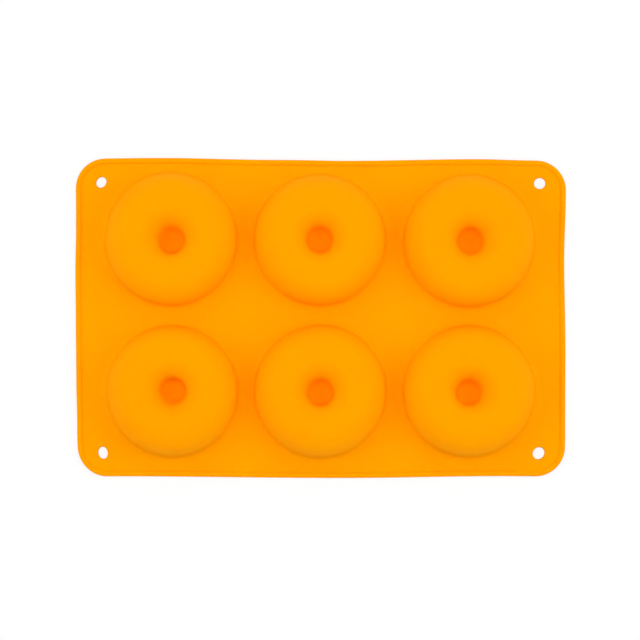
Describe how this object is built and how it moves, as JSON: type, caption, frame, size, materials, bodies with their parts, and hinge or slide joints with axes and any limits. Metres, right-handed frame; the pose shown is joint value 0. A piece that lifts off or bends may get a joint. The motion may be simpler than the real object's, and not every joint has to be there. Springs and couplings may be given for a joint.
{
  "type": "silicone doughnut pan",
  "caption": "Flexible silicone baking mould for ring doughnuts: a thin tray with a beaded edge and corner holes, and six rounded cups with a hollow tapered core in the middle of each.",
  "frame": {"origin": "middle of the tray's outline, on the flat face that the mouths open in, which is the face it lies on", "axes": "+X along the long side, +Y along the short side towards the edge that the rows sit nearer to, +Z from the mouths to the backs of the cups"},
  "size_m": [0.265, 0.172, 0.018],
  "materials": {
    "silicone": "satin"
  },
  "bodies": {
    "root": {"doughnut_mould": "silicone"}
  },
  "joints": []
}
